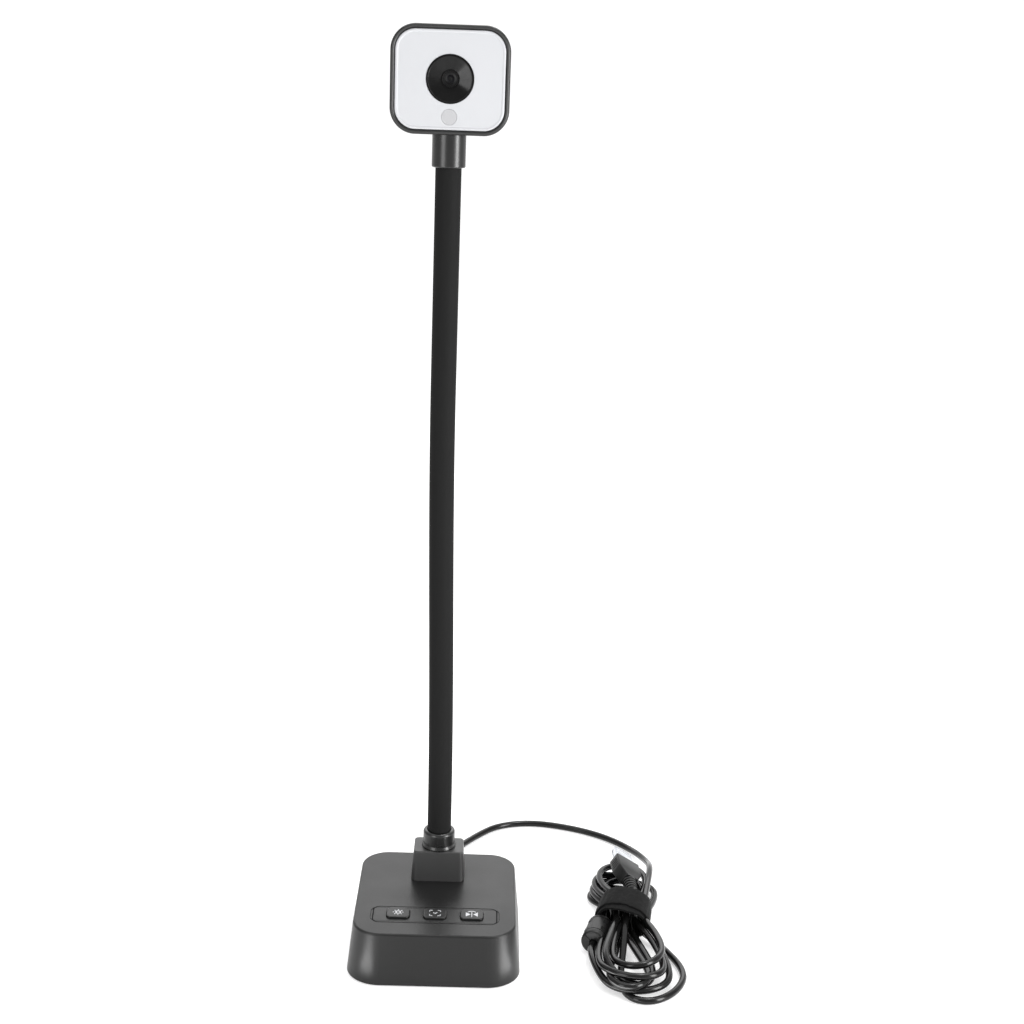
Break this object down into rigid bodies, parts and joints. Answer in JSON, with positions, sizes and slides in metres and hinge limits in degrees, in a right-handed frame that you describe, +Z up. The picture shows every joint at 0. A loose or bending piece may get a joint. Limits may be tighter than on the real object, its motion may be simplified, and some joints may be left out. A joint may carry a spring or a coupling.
{
  "type": "document camera",
  "caption": "Desk document camera: lens in a square head with a white light panel, on a bendable gooseneck over a heavy square base with control buttons and a strapped USB cord.",
  "frame": {"origin": "on the table, under the middle of the base", "axes": "+Z up along the upright neck, -Y the way the lens and the buttons face, +X to the right as seen from the front"},
  "size_m": [0.18, 0.2009, 0.4842],
  "materials": {
    "base_plastic": "fine-textured moulding",
    "base_underside": "plain moulding",
    "foot_rubber": "matt rubber",
    "screw_steel": "zinc-plated",
    "ballast_steel": "plain plate",
    "circuit_board": "solder mask",
    "switch_plastic": "moulded",
    "panel_plastic": "satin moulding",
    "button_plastic": "satin moulding with white printed signs",
    "socket_plastic": "satin black moulding",
    "fitting_steel": "nickel-plated",
    "core_steel": "interlocked spring steel",
    "neck_silicone": "matt silicone",
    "head_plastic": "satin black moulding",
    "diffuser": "milky light panel",
    "light_board": "white-coated board",
    "led": "phosphor and lens",
    "sensor_window": "pale translucent plug",
    "lens_ring": "black, finely ringed",
    "lens_barrel": "black",
    "lens_glass": "coated glass",
    "cord_pvc": "satin black jacket",
    "strap_fabric": "hook-and-loop",
    "ferrite_case": "moulded case",
    "plug_plastic": "moulded plug",
    "plug_steel": "nickel-plated shell"
  },
  "bodies": {
    "base": {"base_shell": "base_plastic", "bottom_plate": "base_underside", "rubber_feet": "foot_rubber", "base_screws": "screw_steel", "ballast_plate": "ballast_steel", "button_board": "circuit_board", "tact_switches": "switch_plastic", "button_panel": "panel_plastic", "pedestal": "base_plastic", "neck_socket": "socket_plastic", "neck_nut": "fitting_steel", "neck_tail": "fitting_steel", "neck_sleeve_00": "neck_silicone", "strain_relief": "cord_pvc", "usb_cord": "cord_pvc", "cord_hank": "cord_pvc", "cord_strap": "strap_fabric", "ferrite_choke": "ferrite_case", "plug_body": "plug_plastic", "plug_shell": "plug_steel"},
    "neck_01": {"neck_sleeve_01": "neck_silicone", "neck_core_01": "core_steel"},
    "neck_02": {"neck_sleeve_02": "neck_silicone", "neck_core_02": "core_steel"},
    "neck_03": {"neck_sleeve_03": "neck_silicone", "neck_core_03": "core_steel"},
    "neck_04": {"neck_sleeve_04": "neck_silicone", "neck_core_04": "core_steel"},
    "neck_05": {"neck_sleeve_05": "neck_silicone", "neck_core_05": "core_steel"},
    "neck_06": {"neck_sleeve_06": "neck_silicone", "neck_core_06": "core_steel"},
    "neck_07": {"neck_sleeve_07": "neck_silicone", "neck_core_07": "core_steel"},
    "neck_08": {"neck_sleeve_08": "neck_silicone", "neck_core_08": "core_steel"},
    "neck_09": {"neck_sleeve_09": "neck_silicone", "neck_core_09": "core_steel"},
    "neck_10": {"neck_sleeve_10": "neck_silicone", "neck_core_10": "core_steel"},
    "head": {"neck_sleeve_11": "neck_silicone", "neck_top": "fitting_steel", "collar": "socket_plastic", "head_front": "head_plastic", "head_rear": "head_plastic", "head_screws": "screw_steel", "light_panel": "diffuser", "light_board": "light_board", "leds": "led", "sensor_window": "sensor_window", "lens_ring": "lens_ring", "lens_holder": "lens_barrel", "sensor_board": "circuit_board"},
    "lens": {"lens_barrel": "lens_barrel", "lens_glass": "lens_glass"},
    "light_button": {"light_button": "button_plastic"},
    "focus_button": {"focus_button": "button_plastic"},
    "mirror_button": {"mirror_button": "button_plastic"}
  },
  "joints": [
    {"name": "neck_lower_bend", "type": "hinge", "parent": "base", "child": "neck_01", "pos_m": [-0.00004, 0.0224, 0.07227], "axis": [1, 0, 0.0045], "range_deg": [-8, 12]},
    {"name": "neck_lower_bend_2", "type": "hinge", "parent": "neck_01", "child": "neck_02", "pos_m": [-0.00032, 0.0224, 0.10502], "axis": [0.9999, 0, 0.0127], "range_deg": [-8, 12]},
    {"name": "neck_lower_bend_3", "type": "hinge", "parent": "neck_02", "child": "neck_03", "pos_m": [-0.00085, 0.0224, 0.13776], "axis": [0.9998, 0, 0.0188], "range_deg": [-8, 12]},
    {"name": "neck_lower_side_bend", "type": "hinge", "parent": "neck_03", "child": "neck_04", "pos_m": [-0.00152, 0.0224, 0.17051], "axis": [0, 1, 0], "range_deg": [-20, 20]},
    {"name": "neck_lower_bend_4", "type": "hinge", "parent": "neck_04", "child": "neck_05", "pos_m": [-0.00223, 0.0224, 0.20325], "axis": [0.9998, 0, 0.0211], "range_deg": [-8, 12]},
    {"name": "neck_upper_bend", "type": "hinge", "parent": "neck_05", "child": "neck_06", "pos_m": [-0.00287, 0.0224, 0.236], "axis": [0.9999, 0, 0.0169], "range_deg": [-12, 20]},
    {"name": "neck_upper_bend_2", "type": "hinge", "parent": "neck_06", "child": "neck_07", "pos_m": [-0.00331, 0.0224, 0.26875], "axis": [1, 0, 0.0099], "range_deg": [-12, 20]},
    {"name": "neck_upper_side_bend", "type": "hinge", "parent": "neck_07", "child": "neck_08", "pos_m": [-0.0035, 0.0224, 0.30149], "axis": [0, 1, 0], "range_deg": [-20, 20]},
    {"name": "neck_upper_bend_3", "type": "hinge", "parent": "neck_08", "child": "neck_09", "pos_m": [-0.0035, 0.0224, 0.33424], "axis": [1, 0, 0], "range_deg": [-12, 20]},
    {"name": "neck_upper_bend_4", "type": "hinge", "parent": "neck_09", "child": "neck_10", "pos_m": [-0.0035, 0.0224, 0.36698], "axis": [1, 0, 0], "range_deg": [-12, 20]},
    {"name": "neck_upper_bend_5", "type": "hinge", "parent": "neck_10", "child": "head", "pos_m": [-0.0035, 0.0224, 0.39973], "axis": [1, 0, 0], "range_deg": [-12, 20]},
    {"name": "light_button_press", "type": "slide", "parent": "base", "child": "light_button", "axis": [0, 0, -1], "range_m": [0, 0.0005], "stiffness_N_per_m": 900},
    {"name": "focus_button_press", "type": "slide", "parent": "base", "child": "focus_button", "axis": [0, 0, -1], "range_m": [0, 0.0005], "stiffness_N_per_m": 900},
    {"name": "mirror_button_press", "type": "slide", "parent": "base", "child": "mirror_button", "axis": [0, 0, -1], "range_m": [0, 0.0005], "stiffness_N_per_m": 900},
    {"name": "lens_focus", "type": "slide", "parent": "head", "child": "lens", "axis": [0, -1, 0], "range_m": [0, 0.0003]}
  ],
  "couplings": [
    {"joint": "neck_lower_bend_2", "follows": "neck_lower_bend", "ratio": 1},
    {"joint": "neck_lower_bend_3", "follows": "neck_lower_bend", "ratio": 1},
    {"joint": "neck_lower_bend_4", "follows": "neck_lower_bend", "ratio": 1},
    {"joint": "neck_upper_bend_2", "follows": "neck_upper_bend", "ratio": 1},
    {"joint": "neck_upper_bend_3", "follows": "neck_upper_bend", "ratio": 1},
    {"joint": "neck_upper_bend_4", "follows": "neck_upper_bend", "ratio": 1},
    {"joint": "neck_upper_bend_5", "follows": "neck_upper_bend", "ratio": 1}
  ]
}
